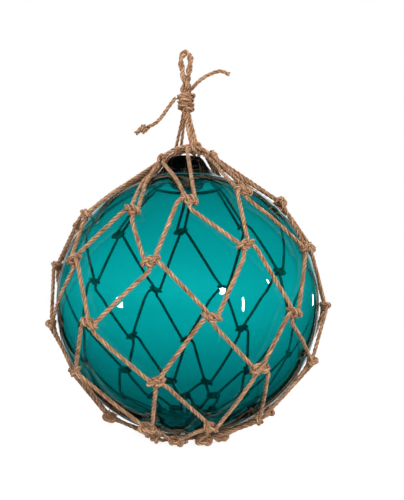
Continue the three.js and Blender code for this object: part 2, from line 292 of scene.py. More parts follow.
def even_path(points: np.ndarray, step: float, closed: bool = False) -> np.ndarray:
    """Places points at even steps along a line.

    Args:
        points: The line.
        step: The distance wanted from one to the next.
        closed: Whether the line comes back to its start.

    Returns:
        The evenly placed points; a closed line's start isn't repeated.
    """
    line = np.vstack([points, points[:1]]) if closed else points
    run = np.concatenate([[0], np.cumsum(np.linalg.norm(np.diff(line, axis=0), axis=1))])
    count = max(2, int(round(run[-1] / step)))
    places = np.linspace(0, run[-1], count + 1)
    even = np.stack([np.interp(places, run, line[:, axis]) for axis in range(3)], axis=1)
    return even[:-1] if closed else even


def path_length(points: np.ndarray) -> float:
    """Measures a line."""
    return float(np.linalg.norm(np.diff(points, axis=0), axis=1).sum())


def transport_frames(path: np.ndarray, closed: bool) -> tuple[np.ndarray, np.ndarray, np.ndarray]:
    """Carries a pair of side directions along a path without twisting them.

    Args:
        path: Evenly placed points.
        closed: Whether the path comes back to its start.

    Returns:
        Tangents, first sides and second sides.
    """
    if closed:
        tangents = unit(np.roll(path, -1, axis=0) - np.roll(path, 1, axis=0))
    else:
        tangents = unit(np.gradient(path, axis=0))
    side = np.cross(tangents[0], (0.31, 0.17, 0.93))
    side /= np.linalg.norm(side)
    sides = np.empty_like(path)
    for i, along in enumerate(tangents):
        side = side - along * side.dot(along)
        side /= math.sqrt(side.dot(side))
        sides[i] = side
    others = np.cross(tangents, sides)
    if closed:
        back = sides[-1] - tangents[0] * sides[-1].dot(tangents[0])
        slip = math.atan2(back.dot(others[0]), back.dot(sides[0]))
        turn = -slip * np.linspace(0, 1, len(path), endpoint=False)[:, None]
        sides, others = (sides * np.cos(turn) + others * np.sin(turn),
                         others * np.cos(turn) - sides * np.sin(turn))
    return tangents, sides, others


@dataclass
class Skin:
    """Mesh parts gathered for one piece: corners, faces and each corner's place along its fibres."""

    corners: list[np.ndarray] = field(default_factory=list)
    faces: list[np.ndarray] = field(default_factory=list)
    runs: list[np.ndarray] = field(default_factory=list)
    crests: list[np.ndarray] = field(default_factory=list)
    count: int = 0

    def add(self, corners: np.ndarray, faces: list[np.ndarray], run: np.ndarray,
            crest: np.ndarray | None = None) -> None:
        """Adds corners, their faces numbered from nought, fibre places, and how far out each one lies."""
        self.crests.append(np.ones(len(corners)) if crest is None else crest)
        self.corners.append(corners)
        self.faces.extend(block + self.count for block in faces)
        self.runs.append(run)
        self.count += len(corners)

    def piece(self, name: str, material: bpy.types.Material, slot: str) -> bpy.types.Object:
        """Makes the object, in metres on the float's own frame.

        Args:
            name: The piece's name.
            material: What it is made of.
            slot: The record's material slot; not used.

        Returns:
            The object, riding on the float.
        """
        corners = (np.vstack(self.corners) + (0, 0, BALL_CENTRE)) * MM
        mesh = bpy.data.meshes.new(name)
        faces = [face for block in self.faces for face in block.tolist()]
        mesh.from_pydata(corners.tolist(), [], faces)
        place = mesh.attributes.new("run", "FLOAT_VECTOR", "POINT")
        place.data.foreach_set("vector", np.vstack(self.runs).astype(np.float32).ravel())
        crest = mesh.attributes.new("crest", "FLOAT", "POINT")
        crest.data.foreach_set("value", np.concatenate(self.crests).astype(np.float32))
        mesh.shade_smooth()
        mesh.materials.append(material)
        piece = bpy.data.objects.new(name, mesh)
        bpy.context.scene.collection.objects.link(piece)
        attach(piece, ROOT)
        triangles = sum(len(face) - 2 for face in faces)
        log.info("%s: %d triangles", name, triangles)
        return piece


@dataclass
class Twine:
    """Cord laid up from plies that wind round each other."""

    radius: float = CORD_RADIUS
    plies: int = 3
    lay: float = 15.0
    sides: int = 6
    step: float = 1.6
    roughness: float = 0.05
    fibre_turn: float = 0.09

    def wind(self, skin: Skin, path: np.ndarray, rng: np.random.Generator,
             closed: bool = False, splay: float = 0.0) -> None:
        """Winds the plies along a path and adds their skins.

        Args:
            skin: The piece that they go in.
            path: The cord's centreline.
            rng: Where the unevenness of the spinning comes from.
            closed: Whether the cord is an endless ring.
            splay: How far the plies open at the last end, as a share of their spacing.
        """
        path = even_path(path, self.step, closed)
        tangents, sides, others = transport_frames(path, closed)
        count = len(path)
        length = count * self.step
        turns = length / self.lay
        if closed:
            turns = max(1, round(turns))
        spread = 1 / math.sin(math.pi / self.plies)
        ply_radius = self.radius / (1 + spread)
        offset = ply_radius * spread
        share = np.arange(count) / count
        start = rng.uniform(0, 2 * math.pi)
        opened = 1 + splay * np.clip((share * length - length + 4.0) / 4.0, 0, 1) ** 2
        around = np.arange(self.sides) * 2 * math.pi / self.sides
        for ply in range(self.plies):
            angle = start + 2 * math.pi * (turns * share + ply / self.plies)
            cos, sin = np.cos(angle)[:, None], np.sin(angle)[:, None]
            out = sides * cos + others * sin
            swing = offset * 2 * math.pi * turns / length
            along = unit(tangents + swing * (others * cos - sides * sin))
            across = np.cross(along, out)
            middle = path + out * offset * opened[:, None]
            swell = 1 + self.roughness * np.convolve(rng.normal(size=count + 4), np.ones(5) / 2.2, "valid")
            radii = ply_radius * swell[:, None] * (1 + 0.6 * self.roughness * rng.normal(size=(count, self.sides)))
            ring = (middle[:, None] + (radii * np.cos(around))[..., None] * out[:, None] * 0.96
                    + (radii * np.sin(around))[..., None] * across[:, None] * 1.05)
            spun = around + self.fibre_turn * 2 * math.pi * (share * length)[:, None] / ply_radius
            run = np.stack([
                np.broadcast_to((share * length)[:, None] + 97.0 * ply, spun.shape) + rng.uniform(0, 500),
                np.cos(spun) * ply_radius, np.sin(spun) * ply_radius + 7.0 * ply,
            ], axis=-1)
            self._close(skin, ring, run, middle, closed)

    def _close(self, skin: Skin, ring: np.ndarray, run: np.ndarray, middle: np.ndarray,
               closed: bool) -> None:
        """Faces a ply's rings, with a point on each free end."""
        count, sides = ring.shape[:2]
        last = count if closed else count - 1
        row = (np.arange(last)[:, None] * sides)
        nxt = (np.arange(1, last + 1)[:, None] % count) * sides
        a, b = np.arange(sides)[None], (np.arange(sides)[None] + 1) % sides
        quads = np.stack([row + a, row + b, nxt + b, nxt + a], axis=-1).reshape(-1, 4)
        corners, runs, faces = ring.reshape(-1, 3), run.reshape(-1, 3), [quads]
        # How far out each corner lies on its ply, one on the crest; the jute paints shade into the grooves from it,
        # and into the end tips at 0.3
        crest = np.tile(0.5 + 0.5 * np.cos(np.arange(sides) * 2 * math.pi / sides), count)
        if not closed:
            tips = np.stack([middle[0] * 2 - middle[1], middle[-1] * 2 - middle[-2]])
            tips = 0.6 * np.stack([middle[0], middle[-1]]) + 0.4 * tips
            first, end = count * sides, count * sides + 1
            corners = np.vstack([corners, tips])
            runs = np.vstack([runs, run[0, :1], run[-1, :1]])
            crest = np.append(crest, (0.3, 0.3))
            base = (count - 1) * sides
            faces.append(np.stack([b[0], a[0], np.full(sides, first)], axis=-1))
            faces.append(np.stack([base + a[0], base + b[0], np.full(sides, end)], axis=-1))
        skin.add(corners, faces, runs, crest)


@dataclass
class LooseFibres:
    """Short hairs that stand out of the twine, each a closed tapering tube."""

    every: float = 2.6
    length: tuple[float, float] = (1.8, 6.5)
    thickness: float = 0.075
    sections: int = 5
    lean: float = 0.75

    def scatter(self, skin: Skin, path: np.ndarray, radius: float, rng: np.random.Generator,
                share: float = 1.0) -> None:
        """Adds hairs along a cord.

        Args:
            skin: The piece that they go in.
            path: The cord's centreline.
            radius: The cord's radius.
            rng: Where their places and bends come from.
            share: How many there are beside the usual number.
        """
        count = int(path_length(path) / self.every * share)
        if count < 1:
            return
        even = even_path(path, 1.0)
        pick = rng.integers(1, len(even) - 1, count)
        along = unit(even[pick + 1] - even[pick - 1])
        side = unit(np.cross(along, rng.normal(size=(count, 3))))
        lean = along * rng.choice([-1, 1], (count, 1)) * self.lean
        out = unit(side + lean + 0.25 * rng.normal(size=(count, 3)))
        bend = np.cross(out, unit(rng.normal(size=(count, 3))))
        length = rng.uniform(*self.length, (count, 1)) * rng.uniform(0.5, 1.0, (count, 1))
        root = even[pick] + side * radius * 0.7
        rows = []
        for share_along in np.linspace(0, 1, self.sections):
            rows.append(root + out * length * share_along + bend * length * 0.45 * share_along**2)
        line = np.stack(rows, axis=1)
        reach = np.linalg.norm(line, axis=-1, keepdims=True)
        near = (reach < BALL_RADIUS + 12) & (line[..., 2:] < 118)
        line = np.where(near, line * np.maximum(1, (BALL_RADIUS + 0.5) / reach), line)
        line[..., 2] = np.maximum(line[..., 2], 0.3 - BALL_CENTRE)
        first = unit(np.cross(out, side + 0.01))[:, None]
        second = np.cross(out[:, None], first)
        taper = self.thickness * (1 - 0.8 * np.linspace(0, 1, self.sections))[None, :, None]
        rings = []
        for corner in range(3):
            angle = 2 * math.pi * corner / 3
            rings.append(line + taper * (first * math.cos(angle) + second * math.sin(angle)))
        ring = np.stack(rings, axis=2)
        corners = ring.reshape(-1, 3)
        per = self.sections * 3
        faces = []
        for section in range(self.sections - 1):
            for corner in range(3):
                nxt = (corner + 1) % 3
                low, high = section * 3, section * 3 + 3
                faces.append((low + corner, low + nxt, high + nxt, high + corner))
        quads = np.array(faces)[None] + (np.arange(count) * per)[:, None, None]
        ends = np.array([(2, 1, 0), (per - 3, per - 2, per - 1)])[None] + (np.arange(count) * per)[:, None, None]
        run = np.zeros_like(corners)
        run[:, 0] = np.repeat(rng.uniform(0, 900, count), per)
        skin.add(corners, [quads.reshape(-1, 4), ends.reshape(-1, 3)], run)


def tighten(cords: list[np.ndarray], pulls: list[np.ndarray], spacing: float, contact: float,
            steps: int) -> list[np.ndarray]:
    """Pulls a loosely laid knot tight.

    Args:
        cords: The loose cords as evenly spaced points.
        pulls: The directions in which each cord's two ends are pulled.
        spacing: The distance from one point of a cord to the next.
        contact: How near two cords come before they press on each other.
        steps: How long to pull.

    Returns:
        The tight cords.
    """
    points = np.vstack(cords)
    sizes = [len(cord) for cord in cords]
    starts = np.concatenate([[0], np.cumsum(sizes)])
    owner = np.repeat(np.arange(len(cords)), sizes)
    number = np.arange(len(points))
    near = np.abs(number[:, None] - number[None]) <= math.ceil(contact * 1.15 / spacing)
    apart = ~((owner[:, None] == owner[None]) & near)
    links = np.array([i for i in range(len(points) - 1) if owner[i] == owner[i + 1]])
    ends = np.array([place for i in range(len(cords)) for place in (starts[i], starts[i + 1] - 1)])
    inner = np.setdiff1d(number, ends)
    pull = np.vstack(pulls)
    speed = np.zeros_like(points)
    for _ in range(steps):
        before = points.copy()
        points = points + 0.6 * speed
        points[ends] += pull * 0.10
        points[inner] += 0.06 * ((points[inner - 1] + points[inner + 1]) / 2 - points[inner])
        for _ in range(6):
            for odd in (0, 1):
                low = links[links % 2 == odd]
                step = points[low + 1] - points[low]
                length = np.linalg.norm(step, axis=1, keepdims=True)
                shift = (length - spacing) / length * 0.5 * step
                points[low] += shift
                points[low + 1] -= shift
            gap = points[:, None] - points[None]
            distance = np.sqrt((gap**2).sum(-1)) + 1e-6
            press = np.where(apart & (distance < contact), (contact - distance) / distance * 0.5, 0)
            touching = np.maximum((press > 0).sum(1), 1)[:, None]
            points += (press[..., None] * gap).sum(1) / touching * np.minimum(touching, 2)
        speed = points - before
    return [points[starts[i]:starts[i + 1]] for i in range(len(cords))]


@dataclass
class SheetBend:
    """The netting knot: a bight from the mesh above, and the row's own cord wound round it.

    Its own frame has x to the right, y up the ball and z out of it. The loose lay is in cord
    diameters; pulled tight it comes down to its real size.
    """

    diameter: float = 2 * CORD_RADIUS
    squeeze: float = 0.84
    spacing: float = 1.3
    steps: int = 1150
    reach: float = 7.6
    press: float = 0.82
    bight: tuple = ((-3.6, 6.5, 1.5), (-2.2, 3.6, 1.5), (-1.5, 1.2, 1.5), (-1.2, -0.8, 1.6), (0, -2, 1.9),
                    (1.2, -0.8, 1.6), (1.5, 1.2, 1.5), (2.2, 3.6, 1.5), (3.6, 6.5, 1.5))
    wound: tuple = ((-4.2, -6.2, 1.5), (-2.6, -3.8, 1.3), (-1, -2.2, 0.6), (-0.1, -0.8, 0.9), (0.1, 0.3, 2.4),
                    (0.5, 1.3, 3.3), (1.5, 1.9, 2.9), (2.7, 1.9, 1.8), (2.2, 1.9, 0.6), (0.6, 1.8, 0.5),
                    (-1, 1.7, 0.5), (-2.5, 1.4, 0.6), (-2.8, 0.9, 1.8), (-1.7, 0.4, 2.6), (-0.2, 0.15, 1.95),
                    (0.2, 0.1, 1.95), (1.3, -0.3, 2.6), (2.4, -1.2, 2.2), (3, -3, 1.6), (4.2, -6.2, 1.5))

    def tie(self, skew: float) -> dict[Hand, tuple[np.ndarray, np.ndarray]]:
        """Ties the knot both ways.

        Args:
            skew: How far the legs are turned off the even cross, in degrees.

        Returns:
            For each hand, the bight from upper left to upper right and the row's cord from lower
            left to lower right.
        """
        loose = [even_path(spline(np.array(lay, float) * self.diameter), self.spacing)
                 for lay in (self.bight, self.wound)]
        slope, turn = math.radians(34), math.radians(skew)
        pulls = [np.array([(math.sin(side * slope + turn), height * math.cos(side * slope + turn), 0)
                           for side in (-1, 1)]) for height in (1, -1)]
        tight = tighten(loose, pulls, self.spacing, self.diameter * self.squeeze, self.steps)
        middle = np.vstack([cord[np.hypot(cord[:, 0], cord[:, 1]) < self.reach] for cord in tight])
        shift = np.append((middle.min(0) + middle.max(0))[:2] / 2, middle[:, 2].min() - self.diameter / 2 / self.press)
        tied = [self._core((cord - shift) * (1, 1, self.press)) for cord in tight]
        mirrored = [cord[::-1] * (-1, 1, 1) for cord in tied]
        return {Hand.RISING: tuple(tied), Hand.FALLING: tuple(mirrored)}

    def _core(self, cord: np.ndarray) -> np.ndarray:
        """Keeps the part of a cord that is in the knot."""
        inside = np.flatnonzero(np.hypot(cord[:, 0], cord[:, 1]) < self.reach)
        return cord[inside[0]:inside[-1] + 1]


def on_ball(latitude: float, bearing: float, lift: float) -> np.ndarray:
    """Finds a point over the ball from its latitude and bearing in degrees."""
    up, round_ = math.radians(latitude), math.radians(bearing)
    reach = BALL_RADIUS + lift
    return reach * np.array([math.cos(up) * math.sin(round_), -math.cos(up) * math.cos(round_), math.sin(up)])


def knot_point(row: int, index: int) -> np.ndarray:
    """Finds where a knot stands on the glass; odd rows are half a mesh round."""
    net = NET_ROWS[row]
    slip_up, slip_round = SLIPS.get((row, index), (0.0, 0.0))
    bearing = net.turn + (index + (row % 2) / 2) * MESH_STEP
    front, right = math.cos(math.radians(bearing)), math.sin(math.radians(bearing))
    sag = net.sag * math.cos(math.radians(2 * bearing))
    return on_ball(net.latitude + net.dip_front * front + net.dip_right * right - sag + slip_up,
                   bearing + net.crowd_front * front + net.crowd_right * right + slip_round, GAP)


def seal_radius(rise: np.ndarray) -> np.ndarray:
    """Gives the seal's radius at a rise, and nought off it."""
    foot = (SEAL_FOOT_RADIUS, math.sqrt(BALL_RADIUS**2 - SEAL_FOOT_RADIUS**2))
    stations = np.array([foot, *SEAL_PROFILE])
    radius = np.interp(rise, stations[:, 1], stations[:, 0])
    return np.where((rise < stations[0, 1]) | (rise > stations[-1, 1]), 0.0, radius)


def clear_of_glass(points: np.ndarray, lift: float) -> np.ndarray:
    """Moves points out of the ball and its seal, to lie that far over them."""
    points = points * np.maximum(1, (BALL_RADIUS + lift) / np.linalg.norm(points, axis=-1, keepdims=True))
    middle = np.array([SEAL_LEAN, 0.0])
    side = points[..., :2] - middle
    distance = np.linalg.norm(side, axis=-1, keepdims=True)
    need = seal_radius(points[..., 2:] - lift * 0.4)
    need = np.where(need > 0, need + lift, 0)
    points[..., :2] = middle + side * np.maximum(1, need / np.maximum(distance, 1e-6))
    return points


def taut(start: np.ndarray, end: np.ndarray, lift: float, count: int = 18) -> np.ndarray:
    """Lays a taut cord from start to end over the glass."""
    line = start + (end - start) * np.linspace(0, 1, count + 1)[:, None]
    for _ in range(240):
        line[1:-1] = (line[:-2] + line[2:]) / 2
        line[1:-1] = clear_of_glass(line[1:-1], lift)
    return line


def knot_frame(place: np.ndarray, spin: float) -> np.ndarray:
    """Gives a knot's right, up and outward directions as rows, turned by spin degrees."""
    outward = place / np.linalg.norm(place)
    east = np.cross((0, 0, 1), outward)
    east /= np.linalg.norm(east)
    north = np.cross(outward, east)
    cos, sin = math.cos(math.radians(spin)), math.sin(math.radians(spin))
    return np.stack([east * cos + north * sin, north * cos - east * sin, outward])


def ring_point(bearing: float | np.ndarray) -> np.ndarray:
    """Finds a point of the gathering ring's centreline at a bearing along it."""
    half_length, half_width, turn = 25.0, 12.0, math.radians(13)
    rise, lift, lift_bearing = 144.5, 4.5, 5.0
    x = half_length * np.sin(np.radians(bearing))
    y = -half_width * np.cos(np.radians(bearing))
    up = rise + lift * np.cos(2 * np.radians(np.asarray(bearing) - lift_bearing))
    return np.stack([x * math.cos(turn) + y * math.sin(turn), y * math.cos(turn) - x * math.sin(turn), up], -1)


@dataclass
class Netting:
    """The net: a ring at the top, meshes hung on it, rows of knots, and the drawn-up foot."""

    jute: bpy.types.Material
    twine: Twine = field(default_factory=Twine)
    fibres: LooseFibres = field(default_factory=LooseFibres)
    seed: int = 11
    hook_radius: float = 3.7
    knot_lean: float = 22.0
    foot_ring_radius: float = 9.5

    def __post_init__(self) -> None:
        """Ties the knots and chooses each knot's own slight turn."""
        self.rng = np.random.default_rng(self.seed)
        self.ties = [SheetBend().tie(skew) for skew in (-4.0, 5.0)]
        shape = (len(NET_ROWS), MESHES_ROUND)
        lean = np.array([[row.hand.value * self.knot_lean] for row in NET_ROWS])
        self.spins = lean + self.rng.uniform(-8, 8, shape)
        self.kinds = self.rng.integers(0, len(self.ties), shape)

    def knot_cord(self, row: int, index: int, which: int) -> np.ndarray:
        """Places one cord of a knot: 0 is its bight and 1 the row's own cord."""
        index %= MESHES_ROUND
        place = knot_point(row, index)
        cord = self.ties[self.kinds[row, index]][NET_ROWS[row].hand][which]
        surface = place * (BALL_RADIUS / np.linalg.norm(place))
        world = surface + cord @ knot_frame(place, self.spins[row, index])
        return clear_of_glass(world, CORD_RADIUS + 0.1)

    def join(self, parts: list[np.ndarray], closed: bool) -> np.ndarray:
        """Runs a cord through its parts, taut between them and eased where it enters a knot.

        Args:
            parts: The cord's shape in each knot or hook, in order.
            closed: Whether it comes back to its start.

        Returns:
            The whole centreline.
        """
        blocks, eased = [], []
        pairs = zip(parts, parts[1:] + parts[:1]) if closed else zip(parts, parts[1:] + [None])
        for part, follower in pairs:
            hold = np.ones(len(part), bool)
            hold[:2] = hold[-2:] = False
            blocks.append(part)
            eased.append(hold)
            if follower is not None:
                strand = even_path(taut(part[-1], follower[0], CORD_RADIUS + 0.12), 1.3)[1:-1]
                blocks.append(strand)
                eased.append(np.zeros(len(strand), bool))
        line, hold = np.vstack(blocks), np.concatenate(eased)
        for _ in range(5):
            soft = (np.roll(line, 1, axis=0) + np.roll(line, -1, axis=0)) / 2
            moved = ~hold
            if not closed:
                moved[0] = moved[-1] = False
            line[moved] = 0.5 * line[moved] + 0.5 * soft[moved]
            line[moved] = clear_of_glass(line[moved], CORD_RADIUS + 0.1)
        line[:, 2] = np.maximum(line[:, 2], CORD_RADIUS + 0.25 - BALL_CENTRE)
        return line

    def row_line(self, row: int) -> np.ndarray:
        """Follows one row's cord round the ball, zigzag through its knots and the bights below."""
        parts = []
        right = 0 if row % 2 == 0 else 1
        for index in range(MESHES_ROUND):
            parts.append(self.knot_cord(row, index, 1))
            parts.append(self.knot_cord(row + 1, index + right, 0))
        return self.join(parts, closed=True)

    def top_line(self) -> np.ndarray:
        """Follows the top meshes' cord: through the first knots and hooked over the ring."""
        parts = []
        for index, (first, second) in enumerate(RING_PERCHES):
            parts.append(self.knot_cord(0, index, 0))
            parts.append(self.hook(first, second))
        return self.join(parts, closed=True)

    def hook(self, first: float, second: float) -> np.ndarray:
        """Winds a mesh over the ring: up outside it, across its top, and back under it."""
        share = np.linspace(0, 1, 14)
        bearing = first + (second - first) * share
        middle = ring_point(bearing)
        along = unit(ring_point(bearing + 1) - ring_point(bearing - 1))
        out = unit(middle * (1, 1, 0))
        out = unit(out - along * (out * along).sum(-1, keepdims=True))
        up = np.cross(out, along)
        up *= np.sign(up[:, 2:])
        angle = np.radians(-35 + 300 * share)[:, None]
        return middle + self.hook_radius * (np.cos(angle) * out + np.sin(angle) * up)

    def foot_line(self) -> np.ndarray:
        """Follows the last cord: through the lowest knots and over the foot ring in tight bights."""
        parts = []
        row = len(NET_ROWS) - 1
        for index in range(MESHES_ROUND):
            parts.append(self.knot_cord(row, index, 1))
            bearing = NET_ROWS[row].turn + (index + 1) * MESH_STEP
            share = np.linspace(-1, 1, 11)
            reach = 6.4 + (14.5 - 6.4) * np.abs(share) ** 1.6
            turn = np.radians(bearing + share * MESH_STEP * 0.25)
            height = 2.6 + 2.55 * np.clip(np.abs(share) * 1.6, 0, 1) ** 1.5
            parts.append(np.stack([reach * np.sin(turn), -reach * np.cos(turn), height - BALL_CENTRE], axis=1))
        return self.join(parts, closed=True)

    def build(self) -> list[bpy.types.Object]:
        """Makes the net's pieces.

        Returns:
            The pieces: the net rows first, then the top meshes, the foot bights, the two rings and the loose fibres.
        """
        names = [f"net_row_{row + 1}" for row in range(len(NET_ROWS) - 1)]
        lines = [(name, self.row_line(row)) for row, name in enumerate(names)]
        lines.append(("net_top_meshes", self.top_line()))
        lines.append(("net_foot_bights", self.foot_line()))
        round_ = np.linspace(0, 360, 90, endpoint=False)
        lines.append(("gathering_ring", ring_point(round_)))
        turn = np.radians(round_)
        lines.append(("foot_ring", np.stack([
            self.foot_ring_radius * np.sin(turn), -self.foot_ring_radius * np.cos(turn),
            np.full_like(turn, CORD_RADIUS + 0.05 - BALL_CENTRE)], axis=1)))
        pieces, hairs = [], Skin()
        for name, line in lines:
            skin = Skin()
            self.twine.wind(skin, line, self.rng, closed=True)
            pieces.append(skin.piece(name, self.jute, "jute"))
            if name != "foot_ring":
                self.fibres.scatter(hairs, line, CORD_RADIUS, self.rng)
        pieces.append(hairs.piece("net_loose_fibres", self.jute, "jute"))
        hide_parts("netting")
        return pieces


@dataclass
class HangingCord:
    """The hanging cord: a laid eye, four cords in a bundle, and two loops hooked under the ring."""

    jute: bpy.types.Material
    thin: Twine = field(default_factory=lambda: Twine(radius=2.0, lay=16.0, step=1.3))
    fibres: LooseFibres = field(default_factory=lambda: LooseFibres(every=4.0))
    seed: int = 23
    pair_offset: float = 1.3
    pair_lay: float = 22.0
    leg_reach: float = 2.6
    leg_half_turn: float = 13.0
    hook_radius: float = 4.7

    def eye_line(self) -> np.ndarray:
        """Draws the middle of the laid pair: up one leg, over the eye and down the other."""
        half = []
        for rise in np.linspace(190, 219, 13):
            turn = math.pi * (rise - 219) / self.leg_half_turn
            half.append((self.leg_reach * math.cos(turn), self.leg_reach * math.sin(turn), rise))
        half += [(3.3, 0.0, 224.4), (4.4, 0.0, 230.0), (4.0, 0.0, 236.6)]
        left = [(HANGER_X - x, y, rise) for x, y, rise in half]
        right = [(HANGER_X + x, -y, rise) for x, y, rise in reversed(half)]
        return even_path(spline(np.array([*left, (HANGER_X, 0.0, 240.6), *right])), 1.0)

    def riser_line(self, bearing: float, out: int, outer: tuple, inner: tuple,
                   spread: float) -> np.ndarray:
        """Draws a long loop: down outside the ring, hooked under it and up inside."""
        hooked = ring_point(bearing)
        points = [(HANGER_X + outer[0], outer[1], 199.0), (HANGER_X + outer[0], outer[1], 184.0)]
        for angle in range(0, 181, 30):
            cos, sin = math.cos(math.radians(angle)), math.sin(math.radians(angle))
            points.append((hooked[0] - spread * cos, hooked[1] + out * self.hook_radius * cos,
                           hooked[2] - self.hook_radius * sin))
        points += [(HANGER_X + inner[0], inner[1], 184.0), (HANGER_X + inner[0], inner[1], 199.0)]
        return even_path(spline(np.array(points)), 1.0)

    def build(self) -> list[bpy.types.Object]:
        """Makes the eye and the two risers.

        Returns:
            The pieces: the eye first, then the two risers and the loose fibres.
        """
        rng = np.random.default_rng(self.seed)
        eye, hairs = Skin(), Skin()
        line = self.eye_line()
        _, sides, others = transport_frames(line, False)
        turn = 2 * math.pi * np.arange(len(line))[:, None] / self.pair_lay
        for sign in (1, -1):
            cord = line + sign * self.pair_offset * (sides * np.cos(turn) + others * np.sin(turn))
            self.thin.wind(eye, cord, rng)
            self.fibres.scatter(hairs, cord, 1.6, rng)
        pieces = [eye.piece("hanging_eye_laid_pair", self.jute, "jute")]
        risers = (("riser_front", 2.4, 22.0, -1, (-0.9, -2.4), (2.3, -1.6), 2.3),
                  ("riser_back", 1.75, -150.0, 1, (-2.4, 1.6), (-0.9, 0.8), 3.0))
        for name, radius, *shape in risers:
            skin, line = Skin(), self.riser_line(*shape)
            Twine(radius=radius).wind(skin, line, rng)
            self.fibres.scatter(hairs, line, radius, rng)
            pieces.append(skin.piece(name, self.jute, "jute"))
        pieces.append(hairs.piece("hanger_loose_fibres", self.jute, "jute"))
        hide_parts("hanging_cord")
        return pieces


@dataclass
class Whipping:
    """The close turns round the bundle, the top one slanted and thicker."""

    jute: bpy.types.Material
    twine: Twine = field(default_factory=lambda: Twine(radius=2.35, lay=21.0))
    seed: int = 31
    coil_radius: float = 6.3
    pitch: float = 4.45
    turns: float = 3.45
    foot_rise: float = 185.6

    def build(self) -> bpy.types.Object:
        """Winds the whipping and adds its hairs."""
        rng = np.random.default_rng(self.seed)
        turn = np.linspace(0, self.turns, 160)
        top = np.clip(turn - self.turns + 1.2, 0, 1)
        angle = 2 * math.pi * turn
        reach = self.coil_radius + 1.2 * top
        tilt = 1.1 * top * np.sin(angle - 2.2)
        line = np.stack([HANGER_X + reach * np.sin(angle), -reach * np.cos(angle),
                         self.foot_rise + self.pitch * turn + tilt], axis=1)
        skin = Skin()
        self.twine.wind(skin, line, rng)
        LooseFibres(every=5.0).scatter(skin, line, 2.1, rng)
        piece = skin.piece("whipping_turns", self.jute, "jute")
        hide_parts("whipping")
        return piece


@dataclass
class FreeEnds:
    """The two ends that leave the whipping: one with a stopper knot and one cut."""

    jute: bpy.types.Material
    twine: Twine = field(default_factory=Twine)
    seed: int = 41
    knotted: tuple = ((-11.4, -1, 197.2), (-14.9, -1.6, 192.8), (-20.7, -2.4, 184.6), (-25.7, -3, 177.6),
                      (-31, -3, 172.6), (-37.2, -3, 169.4))
    cut: tuple = ((0.6, -3.2, 199.5), (2.4, -6, 203.2), (5, -8.9, 204.4), (8.2, -9, 208.2), (12.2, -8.2, 212), (17, -7.2, 215.6),
                  (22, -6, 218.4), (27.6, -4.8, 220.8), (33, -3.6, 221.6), (39.8, -2.6, 219))
    stopper_middle: tuple = (-42.4, -3.0, 167.0)
    stopper_slope: float = 40.0
    stopper_scale: float = 1.22

    def stopper_line(self) -> np.ndarray:
        """Ties an overhand knot and turns it into line with the tail."""
        lay = np.array([(6.5, 0.2, 0), (3.0, 0.6, 0.3), (0.4, 1.6, 1.0), (-1.6, 1.0, 0.2), (-1.2, -0.9, -0.9),
                        (0.4, -1.2, 0.1), (1.4, 0.2, 1.0), (0.6, 1.0, -0.6), (-0.6, 0.2, -0.9), (-1.6, -0.9, 0.6),
                        (-3.2, -0.8, 0.3), (-6.5, -0.2, 0)]) * 4.0
        loose = even_path(spline(lay), 1.2)
        tight = tighten([loose], [np.array([(2.5, 0, 0), (-2.5, 0, 0)])], 1.2, 3.2, 900)[0]
        lump = tight[np.abs(tight[:, 0]) < 6]
        tight = tight - (0, *((lump.min(0) + lump.max(0)) / 2)[1:])
        keep = tight[(tight[:, 0] > -7.5) & (tight[:, 0] < 5.0)] * self.stopper_scale
        slope = math.radians(self.stopper_slope)
        x, z = keep[:, 0] * math.cos(slope) - keep[:, 2] * math.sin(slope), \
            keep[:, 0] * math.sin(slope) + keep[:, 2] * math.cos(slope)
        return np.stack([x, keep[:, 1], z], axis=1) + self.stopper_middle

    def build(self) -> list[bpy.types.Object]:
        rng = np.random.default_rng(self.seed)
        knot_line = self.stopper_line()
        skin = Skin()
        Twine(radius=2.35).wind(skin, knot_line, rng, splay=0.9)
        LooseFibres(every=2.0).scatter(skin, knot_line, CORD_RADIUS, rng)
        stopper = skin.piece("stopper_overhand", self.jute, "jute")
        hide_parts("stopper_knot")
        pieces = [stopper]
        for name, points, node, end, splay, held in (
                ("free_end_knotted", self.knotted, "tail_knotted", "knot", 0.0, [stopper]),
                ("free_end_cut", self.cut, "tail_cut", "bare", 1.6, [])):
            line = even_path(spline(np.array(points, float)), 1.0)
            skin = Skin()
            self.twine.wind(skin, line, rng, splay=splay)
            piece = skin.piece(name, self.jute, "jute")
            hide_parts(node)
            log.info("%s is %.1f mm long", name, path_length(line))
            pieces.append(piece)
        return pieces


